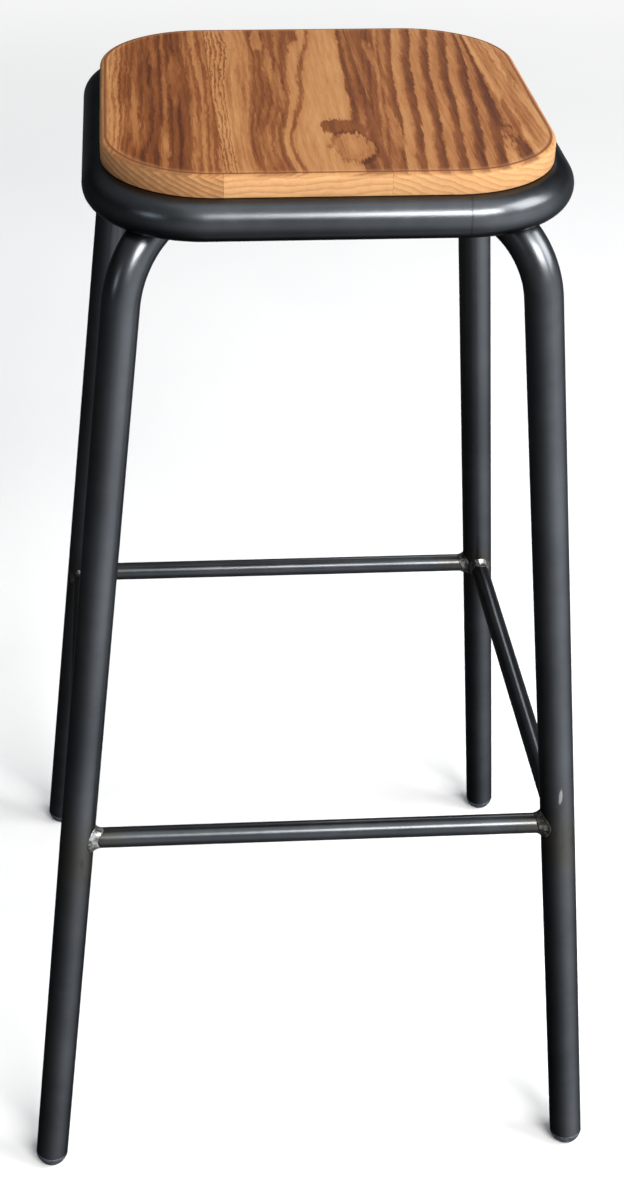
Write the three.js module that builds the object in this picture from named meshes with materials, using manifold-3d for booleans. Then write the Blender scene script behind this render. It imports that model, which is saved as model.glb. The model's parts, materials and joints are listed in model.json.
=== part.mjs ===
// Bar stool with a footrest: an edge-glued wood seat screwed onto a bent steel ring,
// four splayed tube legs that bend in under the ring, and a bar on each side for the feet.
// Millimetres, +Z up, floor at z = 0, the stool's axis on x = y = 0, front towards -Y.
import * as THREE from 'three';
import { mergeVertices } from 'three/addons/utils/BufferGeometryUtils.js';
import Module from 'manifold-3d';

const wasm = await Module();
wasm.setup();

// ---- driving dimensions -----------------------------------------------------------------

const fitGap = 0.3;              // clearance between pieces that touch

const seatTop = 800;             // height of the sitting face
const seatThickness = 14;
const seatHalf = 144;            // half the seat's width and depth
const seatCornerRadius = 72;
const seatEase = 2;              // rounding of the seat's upper and lower edges
const boardJoints = [-70, 32];   // x of the two glued joints between the boards

const ringTube = 13.5;           // radius of the seat ring's tube
const ringWall = 1.5;
const ringHalf = 143;            // half the ring's width, measured on the tube's centre
const ringCornerRadius = 63;
const ringVent = 2;              // radius of the drilled vent hole
const ringVentX = 40;

const legTube = 12.5;
const legWall = 1.5;
const legFootHalf = 209.6;       // x and y of a leg's centre line where it meets the floor
const legTopHalf = 127.5;        // the same line, carried straight up to the ring's centre
const legBendStart = 712;        // height where the bend begins
const legBendRadius = 57.5;

const barTube = 7.5;
const barWall = 1.2;
const barHeight = 311;

const weldLeg = 3.2;             // how far a bead climbs up each tube

const capHeight = 10.5;          // length of plastic showing below a leg's tube
const capFace = 7.5;             // radius of the cap's blunt end before it is worn flat
const capBandHeight = 1.6;
const capStem = 10.3;
const capStemLength = 24;
const capStemWall = 2;

const tabWidth = 24;
const tabThickness = 3;
const tabReach = 26;             // how far a tab stands in from the ring's tube
const tabHole = 2.8;

const screwShank = 1.9;
const screwHead = 4.2;
const screwHeadHeight = 2.4;
const screwBite = 10;            // depth of the screw in the wood
const screwPoint = 3.5;
const washerRadius = 6.5;
const washerThickness = 1;
const washerHole = 2.4;

const legSides = 16;
const ringSides = 18;
const barSides = 12;
const bendSteps = 7;
const ringCornerSteps = 6;

// ---- derived dimensions -----------------------------------------------------------------

const seatBottom = seatTop - seatThickness;
const ringHeight = seatBottom - fitGap - ringTube;
const legSlope = (legFootHalf - legTopHalf) / ringHeight;
const legLean = Math.atan(legSlope * Math.SQRT2);
const barHalf = legFootHalf - legSlope * barHeight;
const tabTop = seatBottom - fitGap;
const tabOuterEdge = ringHalf - ringTube / 2;
const tabInnerEdge = ringHalf - ringTube - tabReach;
const screwOffset = tabInnerEdge + tabReach / 2;

// ---- materials --------------------------------------------------------------------------

const steel = new THREE.MeshStandardMaterial({ color: 0x3f4447, roughness: 0.32, metalness: 1 });
const weldSteel = new THREE.MeshStandardMaterial({ color: 0x8f9294, roughness: 0.35, metalness: 1 });
const wood = new THREE.MeshStandardMaterial({ color: 0xa9693c, roughness: 0.5, metalness: 0 });
const plastic = new THREE.MeshStandardMaterial({ color: 0x1b1e22, roughness: 0.45, metalness: 0 });
const zinc = new THREE.MeshStandardMaterial({ color: 0xb5b8ba, roughness: 0.35, metalness: 1 });

// ---- joining and cutting ----------------------------------------------------------------

function toSolid(geometry) {
  const bare = geometry.clone();
  bare.deleteAttribute('normal');
  bare.deleteAttribute('uv');
  const merged = mergeVertices(bare);
  return new wasm.Manifold(new wasm.Mesh({
    numProp: 3,
    vertProperties: new Float32Array(merged.attributes.position.array),
    triVerts: new Uint32Array(merged.index.array),
  }));
}

function toGeometry(solid) {
  const mesh = solid.getMesh();
  const indexed = new THREE.BufferGeometry();
  indexed.setAttribute('position', new THREE.BufferAttribute(mesh.vertProperties, 3));
  indexed.setIndex(new THREE.BufferAttribute(mesh.triVerts, 1));
  const geometry = indexed.toNonIndexed();
  geometry.computeVertexNormals();
  return geometry;
}

function block(low, high) {
  const size = high.map((value, axis) => value - low[axis]);
  const centre = high.map((value, axis) => (value + low[axis]) / 2);
  return toSolid(new THREE.BoxGeometry(...size).translate(...centre));
}

// A round bar standing on the point [x, y, low], along Z.
function uprightPin(radius, x, y, low, high, sides) {
  const pin = new THREE.CylinderGeometry(radius, radius, high - low, sides);
  pin.rotateX(Math.PI / 2);
  return toSolid(pin.translate(x, y, (low + high) / 2));
}

// A tube along an open path; without a bore it is a solid bar.
function sweep(path, radius, bore, sides) {
  const section = new THREE.Shape();
  section.absarc(0, 0, radius, 0, Math.PI * 2);
  if (bore > 0) {
    const hole = new THREE.Path();
    hole.absarc(0, 0, bore, 0, Math.PI * 2);
    section.holes.push(hole);
  }
  return toSolid(new THREE.ExtrudeGeometry(section, {
    steps: path.steps,
    curveSegments: sides / 2,
    bevelEnabled: false,
    extrudePath: path,
  }));
}

// ---- paths ------------------------------------------------------------------------------

// The ring's centre line, a square with round corners. A loop has no ends to close.
class RingPath extends THREE.Curve {
  constructor() {
    super();
    this.steps = 4 * (ringCornerSteps + 1);
  }

  getPoint(t) {
    const along = (t % 1) * 4;
    const side = Math.floor(along);
    const step = (along - side) * (ringCornerSteps + 1);
    const turn = Math.PI / 2;
    const point = this.cornerPoint(side, Math.min(step / ringCornerSteps, 1) * turn);
    if (step > ringCornerSteps) {
      point.lerp(this.cornerPoint(side + 1, 0), step - ringCornerSteps);
    }
    return point;
  }

  cornerPoint(corner, angle) {
    const quarter = (corner * Math.PI) / 2;
    const inset = (ringHalf - ringCornerRadius) * Math.SQRT2;
    const centre = new THREE.Vector3(inset, 0, 0).applyAxisAngle(zAxis, quarter + Math.PI / 4);
    const spoke = new THREE.Vector3(ringCornerRadius, 0, 0).applyAxisAngle(zAxis, quarter + angle);
    return centre.add(spoke);
  }

  getPointAt(t) {
    return this.getPoint(t);
  }
}

const zAxis = new THREE.Vector3(0, 0, 1);

// A leg's centre line in the upright plane through the stool's axis, here the XZ plane:
// straight up the splayed leg, round the bend, then level to the middle of the stool.
class LegPath extends THREE.Curve {
  constructor(start = capHeight) {
    super();
    this.steps = bendSteps + 2;
    this.up = new THREE.Vector3(-Math.sin(legLean), 0, Math.cos(legLean));
    this.inward = new THREE.Vector3(-Math.cos(legLean), 0, -Math.sin(legLean));
    this.foot = new THREE.Vector3(legFootHalf * Math.SQRT2, 0, 0);
    this.footEnd = this.foot.clone().addScaledVector(this.up, start);
    this.bendStart = this.foot.clone().addScaledVector(this.up, legBendStart / Math.cos(legLean));
    this.bendAngle = Math.PI / 2 - legLean;
    this.bendEnd = this.bendPoint(this.bendAngle);
    this.middle = new THREE.Vector3(fitGap / 2, 0, this.bendEnd.z);
  }

  bendPoint(angle) {
    return this.bendStart.clone()
      .addScaledVector(this.up, legBendRadius * Math.sin(angle))
      .addScaledVector(this.inward, legBendRadius * (1 - Math.cos(angle)));
  }

  getPoint(t) {
    const step = t * this.steps;
    if (step <= 1) {
      return this.footEnd.clone().lerp(this.bendStart, step);
    }
    if (step <= bendSteps + 1) {
      return this.bendPoint(((step - 1) / bendSteps) * this.bendAngle);
    }
    return this.bendEnd.clone().lerp(this.middle, step - 1 - bendSteps);
  }

  getTangent(t) {
    const angle = THREE.MathUtils.clamp((t * this.steps - 1) / bendSteps, 0, 1) * this.bendAngle;
    return this.up.clone().multiplyScalar(Math.cos(angle)).addScaledVector(this.inward, Math.sin(angle));
  }

  getPointAt(t) {
    return this.getPoint(t);
  }

  getTangentAt(t) {
    return this.getTangent(t);
  }
}

// The front footrest bar's centre line, from one leg's centre line to the other's.
class BarPath extends THREE.LineCurve3 {
  constructor() {
    super(new THREE.Vector3(-barHalf, -barHalf, barHeight), new THREE.Vector3(barHalf, -barHalf, barHeight));
    this.steps = 1;
  }
}

// ---- tools shared by several pieces -----------------------------------------------------

const legPath = new LegPath();
const barPath = new BarPath();
const ringPath = new RingPath();

function ringSolid(radius) {
  return toSolid(new THREE.TubeGeometry(ringPath, ringPath.steps, radius, ringSides, true));
}

// Turns a leg's piece from the XZ plane to the corner reached by `quarters` quarter turns
// from the front right corner.
function atCorner(solid, quarters) {
  return solid.rotate([0, 0, 90 * quarters - 45]);
}

const ringTool = ringSolid(ringTube + fitGap);
const legTool = sweep(legPath, legTube + fitGap, 0, legSides);
const barTool = sweep(barPath, barTube + fitGap, 0, barSides);

// A level bar along X through the stool's axis, at the height where the legs meet.
function levelBar(radius) {
  const bar = new THREE.CylinderGeometry(radius, radius, 4 * legTube, legSides);
  bar.rotateZ(Math.PI / 2);
  return toSolid(bar.translate(0, 0, legPath.middle.z));
}

// ---- seat -------------------------------------------------------------------------------

function roundedSquare(half, radius) {
  const shape = new THREE.Shape();
  const inset = half - radius;
  shape.absarc(inset, inset, radius, 0, Math.PI / 2);
  shape.absarc(-inset, inset, radius, Math.PI / 2, Math.PI);
  shape.absarc(-inset, -inset, radius, Math.PI, Math.PI * 1.5);
  shape.absarc(inset, -inset, radius, Math.PI * 1.5, Math.PI * 2);
  return shape;
}

function seatBlank() {
  const panel = new THREE.ExtrudeGeometry(roundedSquare(seatHalf, seatCornerRadius), {
    depth: seatThickness - 2 * seatEase,
    curveSegments: 5,
    bevelThickness: seatEase,
    bevelSize: seatEase,
    bevelOffset: -seatEase,
    bevelSegments: 3,
  });
  panel.translate(0, 0, seatBottom + seatEase);
  return toSolid(panel);
}

function pilotHoles() {
  const radius = screwShank + 2 * fitGap;
  const top = seatBottom + screwBite + fitGap;
  const hole = uprightPin(radius, 0, -screwOffset, seatBottom - 1, top, barSides);
  let holes = hole;
  for (let quarters = 1; quarters < 4; quarters += 1) {
    holes = holes.add(hole.rotate([0, 0, 90 * quarters]));
  }
  return holes;
}

function seatBoards() {
  const panel = seatBlank().subtract(pilotHoles());
  const edges = [-seatHalf - 1, ...boardJoints, seatHalf + 1];
  return ['left', 'middle', 'right'].map((name, index) => {
    const low = [edges[index] + fitGap / 2, -seatHalf - 1, seatBottom - 1];
    const high = [edges[index + 1] - fitGap / 2, seatHalf + 1, seatTop + 1];
    return pieceOf(`seat_board_${name}`, panel.intersect(block(low, high)), wood);
  });
}

// ---- ring -------------------------------------------------------------------------------

function seatRing() {
  const inside = ringHalf - ringTube;
  const drill = new THREE.CylinderGeometry(ringVent, ringVent, ringTube, barSides);
  const vent = toSolid(drill.translate(ringVentX, inside, ringHeight));
  const tube = ringSolid(ringTube).subtract(ringSolid(ringTube - ringWall));
  return pieceOf('seat_ring', tube.translate([0, 0, ringHeight]).subtract(vent), steel);
}

// ---- legs -------------------------------------------------------------------------------

// Two legs in line meet end to end in the middle; the other two are cut round them.
function legTubeSolid(through) {
  const tube = sweep(legPath, legTube, legTube - legWall, legSides);
  const coped = tube.subtract(ringTool.translate([0, 0, ringHeight]).rotate([0, 0, 45]));
  return through ? coped : coped.subtract(levelBar(legTube + fitGap).rotate([0, 0, 90]));
}

// The bead where a leg passes under the ring.
function legWeld() {
  const ringSkin = ringSolid(ringTube + weldLeg).translate([0, 0, ringHeight]).rotate([0, 0, 45]);
  const bead = sweep(legPath, legTube + weldLeg, 0, legSides).intersect(ringSkin);
  return bead.subtract(legTool).subtract(ringTool.translate([0, 0, ringHeight]).rotate([0, 0, 45]));
}

// One bead ties the four leg ends together under the seat.
function crossWeld() {
  const skin = levelBar(legTube + weldLeg);
  const core = levelBar(legTube + fitGap);
  return skin.intersect(skin.rotate([0, 0, 90])).subtract(core).subtract(core.rotate([0, 0, 90]));
}

// A plastic plug: a blunt round end that fills the tube's width, and a hollow stem inside it.
function footCap() {
  const band = capHeight - fitGap - capBandHeight;
  const profile = [new THREE.Vector2(0, 0), new THREE.Vector2(capFace, 0)];
  const roundSteps = 3;
  for (let step = 1; step <= roundSteps; step += 1) {
    const angle = (step / roundSteps) * (Math.PI / 2);
    const radius = capFace + (legTube - capFace) * Math.sin(angle);
    profile.push(new THREE.Vector2(radius, band * (1 - Math.cos(angle))));
  }
  const shoulder = capHeight - fitGap;
  const stemTop = shoulder + capStemLength;
  profile.push(new THREE.Vector2(legTube, shoulder));
  profile.push(new THREE.Vector2(capStem, shoulder));
  profile.push(new THREE.Vector2(capStem, stemTop));
  profile.push(new THREE.Vector2(capStem - capStemWall, stemTop));
  profile.push(new THREE.Vector2(capStem - capStemWall, shoulder));
  profile.push(new THREE.Vector2(0, shoulder));
  const plug = new THREE.LatheGeometry(profile, legSides);
  plug.rotateX(Math.PI / 2);
  plug.rotateY(-legLean);
  plug.translate(legPath.foot.x, 0, 0);
  const reach = 2 * legTube;
  const low = [legPath.foot.x - reach, -reach, -reach];
  const high = [legPath.foot.x + reach, reach, 0];
  return toSolid(plug).subtract(block(low, high));
}

// ---- footrest ---------------------------------------------------------------------------

function footrestBar() {
  const tube = sweep(barPath, barTube, barTube - barWall, barSides);
  return tube.subtract(atCorner(legTool, 0)).subtract(atCorner(legTool, -1));
}

// The bead round the bar's end at the front right leg, or at the front left one.
// At each leg one bar's bead is laid first and the next bar's bead stops against it.
function footrestWeld(end) {
  const quarters = end > 0 ? 0 : -1;
  const barSkin = sweep(barPath, barTube + weldLeg, 0, barSides);
  const legSkin = atCorner(sweep(legPath, legTube + weldLeg, 0, legSides), quarters);
  const bead = barSkin.intersect(legSkin).subtract(atCorner(legTool, quarters)).subtract(barTool);
  if (end > 0) {
    return bead.subtract(barTool.rotate([0, 0, 90]));
  }
  return bead.subtract(sweep(barPath, barTube + weldLeg + fitGap, 0, barSides).rotate([0, 0, -90]));
}

// ---- seat fixings -----------------------------------------------------------------------

function tabPlate(grow) {
  const shape = new THREE.Shape();
  const half = tabWidth / 2 + grow;
  const tipRadius = tabWidth / 3;
  shape.moveTo(-half, -tabOuterEdge);
  shape.lineTo(half, -tabOuterEdge);
  shape.lineTo(half, -tabInnerEdge - tipRadius);
  shape.absarc(half - tipRadius, -tabInnerEdge - tipRadius, tipRadius, 0, Math.PI / 2);
  shape.absarc(-half + tipRadius, -tabInnerEdge - tipRadius, tipRadius, Math.PI / 2, Math.PI);
  const plate = new THREE.ExtrudeGeometry(shape, {
    depth: tabThickness + grow,
    curveSegments: 3,
    bevelEnabled: false,
  });
  return toSolid(plate.translate(0, 0, tabTop - tabThickness - grow));
}

function seatTab() {
  const hole = uprightPin(tabHole, 0, -screwOffset, tabTop - 2 * tabThickness, tabTop + 1, barSides);
  return tabPlate(0).subtract(ringTool.translate([0, 0, ringHeight])).subtract(hole);
}

// The bead under a tab, where it meets the inside of the ring.
function tabWeld() {
  const bead = tabPlate(tabThickness).intersect(ringSolid(ringTube + tabThickness).translate([0, 0, ringHeight]));
  const inside = block([-tabWidth, -ringHalf, seatBottom - 3 * ringTube], [tabWidth, 0, tabTop - tabThickness - fitGap]);
  return bead.intersect(inside).subtract(ringTool.translate([0, 0, ringHeight]));
}

function seatWasher() {
  const top = tabTop - tabThickness - fitGap;
  const disc = uprightPin(washerRadius, 0, -screwOffset, top - washerThickness, top, legSides);
  return disc.subtract(uprightPin(washerHole, 0, -screwOffset, top - 2 * washerThickness, top + 1, barSides));
}

function seatScrew() {
  const headTop = tabTop - tabThickness - washerThickness - 2 * fitGap;
  const point = seatBottom + screwBite;
  const profile = [
    new THREE.Vector2(0, headTop - screwHeadHeight),
    new THREE.Vector2(screwHead * 0.6, headTop - screwHeadHeight),
    new THREE.Vector2(screwHead, headTop - screwHeadHeight * 0.45),
    new THREE.Vector2(screwHead, headTop),
    new THREE.Vector2(screwShank, headTop),
    new THREE.Vector2(screwShank, point - screwPoint),
    new THREE.Vector2(0, point),
  ];
  const screw = new THREE.LatheGeometry(profile, barSides);
  screw.rotateX(Math.PI / 2);
  screw.translate(0, -screwOffset, 0);
  const slot = block(
    [-screwHead, -screwOffset - 0.5, headTop - screwHeadHeight - 1],
    [screwHead, -screwOffset + 0.5, headTop - screwHeadHeight * 0.6],
  );
  return toSolid(screw).subtract(slot);
}

// ---- assembly ---------------------------------------------------------------------------

function pieceOf(name, solid, material) {
  const mesh = new THREE.Mesh(toGeometry(solid), material);
  mesh.name = name;
  return mesh;
}

// The leg, its cap and its bead at one corner. `through` legs run to the middle uncut.
function cornerGroup(name, quarters, solids) {
  const group = new THREE.Group();
  const through = quarters % 2 === 1;
  group.rotation.z = (quarters * Math.PI) / 2 - Math.PI / 4;
  group.add(pieceOf(`leg_${name}`, through ? solids.throughLeg : solids.copedLeg, steel));
  group.add(pieceOf(`leg_weld_${name}`, solids.weld, weldSteel));
  group.add(pieceOf(`foot_cap_${name}`, solids.cap, plastic));
  return group;
}

// The footrest bar with its two beads, and the seat tab with its fixings, on one side.
function sideGroup(name, ends, quarters, solids) {
  const group = new THREE.Group();
  group.rotation.z = (quarters * Math.PI) / 2;
  group.add(pieceOf(`footrest_bar_${name}`, solids.bar, steel));
  group.add(pieceOf(`footrest_weld_${name}_${ends[0]}_end`, solids.firstWeld, weldSteel));
  group.add(pieceOf(`footrest_weld_${name}_${ends[1]}_end`, solids.lastWeld, weldSteel));
  group.add(pieceOf(`seat_tab_${name}`, solids.tab, steel));
  group.add(pieceOf(`seat_tab_weld_${name}`, solids.tabWeld, weldSteel));
  group.add(pieceOf(`seat_washer_${name}`, solids.washer, zinc));
  group.add(pieceOf(`seat_screw_${name}`, solids.screw, zinc));
  return group;
}

function buildStool() {
  const stool = new THREE.Group();
  stool.add(...seatBoards(), seatRing());

  const cornerSolids = {
    throughLeg: legTubeSolid(true),
    copedLeg: legTubeSolid(false),
    weld: legWeld(),
    cap: footCap(),
  };
  ['front_right', 'back_right', 'back_left', 'front_left'].forEach((name, quarters) => {
    stool.add(cornerGroup(name, quarters, cornerSolids));
  });
  const cross = pieceOf('leg_cross_weld', crossWeld(), weldSteel);
  cross.rotation.z = Math.PI / 4;
  stool.add(cross);

  const sideSolids = {
    bar: footrestBar(),
    firstWeld: footrestWeld(-1),
    lastWeld: footrestWeld(1),
    tab: seatTab(),
    tabWeld: tabWeld(),
    washer: seatWasher(),
    screw: seatScrew(),
  };
  const sides = [
    ['front', ['left', 'right']],
    ['right', ['front', 'back']],
    ['back', ['right', 'left']],
    ['left', ['back', 'front']],
  ];
  sides.forEach(([name, ends], quarters) => {
    stool.add(sideGroup(name, ends, quarters, sideSolids));
  });
  return stool;
}

export default buildStool();
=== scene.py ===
import json
import math
import bmesh
import bpy
import numpy as np
from mathutils import Matrix, Vector


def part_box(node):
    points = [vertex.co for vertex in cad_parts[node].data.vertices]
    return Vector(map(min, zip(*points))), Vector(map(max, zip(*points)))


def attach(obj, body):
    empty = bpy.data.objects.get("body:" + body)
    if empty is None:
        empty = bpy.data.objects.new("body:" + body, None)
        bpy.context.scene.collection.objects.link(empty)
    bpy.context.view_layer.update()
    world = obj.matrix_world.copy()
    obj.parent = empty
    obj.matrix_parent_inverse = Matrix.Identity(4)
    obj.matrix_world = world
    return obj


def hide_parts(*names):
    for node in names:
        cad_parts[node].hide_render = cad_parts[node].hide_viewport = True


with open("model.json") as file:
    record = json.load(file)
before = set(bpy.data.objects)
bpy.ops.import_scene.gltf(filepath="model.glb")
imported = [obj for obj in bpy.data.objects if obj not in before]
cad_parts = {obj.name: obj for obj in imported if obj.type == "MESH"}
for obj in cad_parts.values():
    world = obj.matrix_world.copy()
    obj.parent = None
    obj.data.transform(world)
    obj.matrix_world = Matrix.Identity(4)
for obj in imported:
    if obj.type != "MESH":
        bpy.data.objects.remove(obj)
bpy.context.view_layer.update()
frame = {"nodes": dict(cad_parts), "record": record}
record = frame["record"]
print("frame loaded:", len(frame["nodes"]), "nodes")


# sizes read off the frame, in metres
def boxOf(node):
    low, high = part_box(node)
    return Vector(low), Vector(high)


boardHigh = boxOf("seat_board_right")[1]
ringLow, ringHigh = boxOf("seat_ring")
barLow, barHigh = boxOf("footrest_bar_front")
legHigh = boxOf("leg_front_left")[1]
seatTop = boardHigh.z
seatHalf = boardHigh.x
ringTube = (ringHigh.z - ringLow.z) / 2
ringHeight = (ringHigh.z + ringLow.z) / 2
ringHalf = ringHigh.x - ringTube
barTube = (barHigh.z - barLow.z) / 2
barHeight = (barHigh.z + barLow.z) / 2
barHalf = -(barHigh.y + barLow.y) / 2
footHalf = next(m["pos_m"][0] for m in record["mounts"] if m["name"] == "foot_front_right")
legSlope = (footHalf - barHalf) / barHeight
legLean = math.atan(legSlope * math.sqrt(2))
upward = Vector((0, 0, 1))
cornerTurns = {"front_right": -45, "back_right": 45, "back_left": 135, "front_left": 225}
sideTurns = {"front": 0, "right": 90, "back": 180, "left": 270}
sideEnds = {"front": ("left", "right"), "right": ("front", "back"),
            "back": ("right", "left"), "left": ("back", "front")}


# small helpers for shader and geometry trees
def feed(tree, socket, value):
    if isinstance(value, bpy.types.NodeSocket):
        tree.links.new(value, socket)
    else:
        socket.default_value = value


def addNode(tree, kind, values=None, **settings):
    made = tree.nodes.new(kind)
    for key, value in settings.items():
        setattr(made, key, value)
    for key, value in (values or {}).items():
        feed(tree, made.inputs[key], value)
    return made


def calc(tree, operation, *terms):
    made = addNode(tree, "ShaderNodeMath", operation=operation)
    for socket, term in zip(made.inputs, terms):
        feed(tree, socket, term)
    return made.outputs[0]


def vectorCalc(tree, operation, *terms):
    made = addNode(tree, "ShaderNodeVectorMath", operation=operation)
    for socket, term in zip(made.inputs, terms):
        feed(tree, socket, term)
    return made.outputs["Value" if operation in ("LENGTH", "DISTANCE", "DOT_PRODUCT") else "Vector"]


def stretched(tree, where, scale, shift=(0, 0, 0)):
    return addNode(tree, "ShaderNodeMapping", {"Vector": where, "Scale": scale, "Location": shift}).outputs[0]


def noiseOf(tree, where, scale=1.0, detail=2.0, roughness=0.55):
    made = addNode(tree, "ShaderNodeTexNoise",
                   {"Vector": where, "Scale": scale, "Detail": detail, "Roughness": roughness})
    return made.outputs["Fac"]


def objectPlace(tree):
    return addNode(tree, "ShaderNodeTexCoord").outputs["Object"]


def bandOf(tree, value, low, high):
    made = addNode(tree, "ShaderNodeMapRange", {"Value": value, "From Min": low, "From Max": high})
    made.interpolation_type = "SMOOTHSTEP"
    return made.outputs[0]


def fadeOf(tree, value, low, high):
    return calc(tree, "SUBTRACT", 1.0, bandOf(tree, value, low, high))


def rampOf(tree, value, stops):
    made = addNode(tree, "ShaderNodeValToRGB", {"Fac": value})
    elements = made.color_ramp.elements
    while len(elements) < len(stops):
        elements.new(0.5)
    for element, (place, colour) in zip(elements, stops):
        element.position = place
        element.color = (*colour, 1)
    return made.outputs["Color"]


def mixColour(tree, amount, first, second):
    made = addNode(tree, "ShaderNodeMix", data_type="RGBA")
    feed(tree, made.inputs["Factor"], amount)
    for socket, value in ((made.inputs[6], first), (made.inputs[7], second)):
        feed(tree, socket, value if isinstance(value, bpy.types.NodeSocket) else (*value, 1))
    return made.outputs[2]


def mixTone(tree, amount, first, second):
    return addNode(tree, "ShaderNodeMix", {"Factor": amount, "A": first, "B": second}).outputs[0]


def newMaterial(name):
    material = bpy.data.materials.new(name)
    material.use_nodes = True
    tree = material.node_tree
    return material, tree, tree.nodes["Principled BSDF"]


def paint(tree, shader, values):
    for name, value in values.items():
        feed(tree, shader.inputs[name], value)


def bumpOf(tree, height, distance, strength=1.0, under=None):
    made = addNode(tree, "ShaderNodeBump", {"Height": height, "Distance": distance, "Strength": strength})
    if under is not None:
        feed(tree, made.inputs["Normal"], under)
    return made.outputs["Normal"]


def swing(tree, noise, size):
    return calc(tree, "MULTIPLY", calc(tree, "SUBTRACT", noise, 0.5), size)


def total(tree, *terms):
    result = terms[0]
    for term in terms[1:]:
        result = calc(tree, "ADD", result, term)
    return result


def product(tree, *terms):
    result = terms[0]
    for term in terms[1:]:
        result = calc(tree, "MULTIPLY", result, term)
    return result


# gunmetal tube: raw drawn steel under clear lacquer, tinted where it was welded

steelLook = {
    "dark": (0.052, 0.057, 0.063),
    "light": (0.084, 0.090, 0.097),
    "tint": (0.068, 0.060, 0.047),
    "soot": (0.026, 0.024, 0.020),
    "bare": (0.34, 0.34, 0.32),
    "edge": (0.30, 0.31, 0.33),
    "roughness": 0.30,
    "tintReach": 0.048,
    "scuff": (0.1737, -0.1856, 0.343),
    "ringSeam": 0.080,
    "seamFront": -0.125,
    "seamTone": (0.014, 0.015, 0.017),
    "cloudScale": 11,
    "mottleScale": 85,
    "drawScale": (620, 620, 9),
    "coat": 0.3,
    "coatRoughness": 0.2,
}


def steelMaterial():
    look = steelLook
    material, tree, shader = newMaterial("gunmetalTube")
    place = objectPlace(tree)
    skin = addNode(tree, "ShaderNodeAttribute", attribute_name="skin").outputs["Vector"]
    cloud = noiseOf(tree, place, look["cloudScale"], 4, 0.6)
    mottle = noiseOf(tree, place, look["mottleScale"], 4, 0.6)
    draw = noiseOf(tree, stretched(tree, skin, look["drawScale"]), 1, 3, 0.6)
    tone = total(tree, product(tree, cloud, 0.8), product(tree, mottle, 0.2), swing(tree, draw, 0.14))
    colour = mixColour(tree, bandOf(tree, tone, 0.30, 0.72), look["dark"], look["light"])
    # every bar joint sits at the same distance from the axes, so one folded point stands for all four
    folded = vectorCalc(tree, "ABSOLUTE", place)
    away = vectorCalc(tree, "DISTANCE", folded, (barHalf, barHalf, barHeight - 0.008))
    heat = total(tree, away, swing(tree, noiseOf(tree, place, 38, 3), 0.034))
    tint = product(tree, fadeOf(tree, heat, 0.012, look["tintReach"]), 0.7)
    colour = mixColour(tree, tint, colour, look["tint"])
    smear = noiseOf(tree, stretched(tree, place, (130, 130, 28)), 1, 3)
    soot = product(tree, tint, bandOf(tree, smear, 0.50, 0.66))
    colour = mixColour(tree, product(tree, soot, 0.7), colour, look["soot"])
    # one knock through the lacquer on the front right leg
    fromScuff = vectorCalc(tree, "SUBTRACT", place, look["scuff"])
    fromScuff = vectorCalc(tree, "MULTIPLY", fromScuff, (1.0, 1.0, 0.17))
    ragged = total(tree, vectorCalc(tree, "LENGTH", fromScuff), swing(tree, mottle, 0.0022))
    scuff = fadeOf(tree, ragged, 0.0008, 0.0015)
    colour = mixColour(tree, scuff, colour, look["bare"])
    # the ground flush butt joint of the ring
    x, y, z = addNode(tree, "ShaderNodeSeparateXYZ", {"Vector": place}).outputs
    offSeam = calc(tree, "ABSOLUTE", calc(tree, "SUBTRACT", x, look["ringSeam"]))
    seam = fadeOf(tree, offSeam, 0.0003, 0.0012)
    onFront = calc(tree, "LESS_THAN", y, look["seamFront"])
    onRing = calc(tree, "GREATER_THAN", z, ringHeight - 1.1 * ringTube)
    seam = product(tree, seam, product(tree, onFront, onRing))
    colour = mixColour(tree, product(tree, seam, 0.3), colour, look["seamTone"])
    rough = total(tree, look["roughness"], swing(tree, mottle, 0.10), swing(tree, cloud, 0.10),
                  product(tree, tint, 0.08))
    normal = bumpOf(tree, noiseOf(tree, place, 260, 2), 0.00005, 0.35)
    normal = bumpOf(tree, draw, 0.00003, 0.35, normal)
    normal = bumpOf(tree, noiseOf(tree, place, 1500, 2), 0.00002, 0.5, normal)
    normal = bumpOf(tree, seam, 0.0001, 0.5, normal)
    paint(tree, shader, {"Base Color": colour, "Metallic": 1.0, "Specular Tint": (*look["edge"], 1),
                         "Roughness": rough, "Normal": normal,
                         "Coat Weight": look["coat"], "Coat Roughness": look["coatRoughness"]})
    return material


# weld metal

weldLook = {
    "bright": (0.36, 0.36, 0.35),
    "burnt": (0.070, 0.062, 0.052),
    "roughness": 0.25,
    "coat": 0.2,
    "coatRoughness": 0.15,
}


def weldMaterial():
    look = weldLook
    material, tree, shader = newMaterial("groundWeld")
    place = objectPlace(tree)
    patch = noiseOf(tree, place, 150, 4, 0.6)
    grit = noiseOf(tree, place, 900, 3, 0.6)
    # painted highlight: the front left joint, where the key light catches it, is painted bright in patches; the
    # others keep their burnt skin
    fromLitJoint = vectorCalc(tree, "DISTANCE", place, (-barHalf, -barHalf, barHeight))
    litJoint = fadeOf(tree, fromLitJoint, 0.022, 0.034)
    paintedGlint = product(tree, litJoint, bandOf(tree, patch, 0.38, 0.56))
    # bright holds the random bright weld metal and the painted highlight on the front left joint
    bright = calc(tree, "MAXIMUM", bandOf(tree, patch, 0.46, 0.62), paintedGlint)
    colour = mixColour(tree, bright, look["burnt"], look["bright"])
    rough = total(tree, look["roughness"], product(tree, grit, 0.2))
    paint(tree, shader, {"Base Color": colour, "Metallic": 1.0, "Roughness": rough,
                         "Normal": bumpOf(tree, grit, 0.00012, 0.7),
                         "Coat Weight": look["coat"], "Coat Roughness": look["coatRoughness"]})
    return material


# moulded plastic of the foot caps

capLook = {"colour": (0.024, 0.029, 0.037), "dustAndSheen": (0.11, 0.12, 0.135), "roughness": 0.30}


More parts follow.
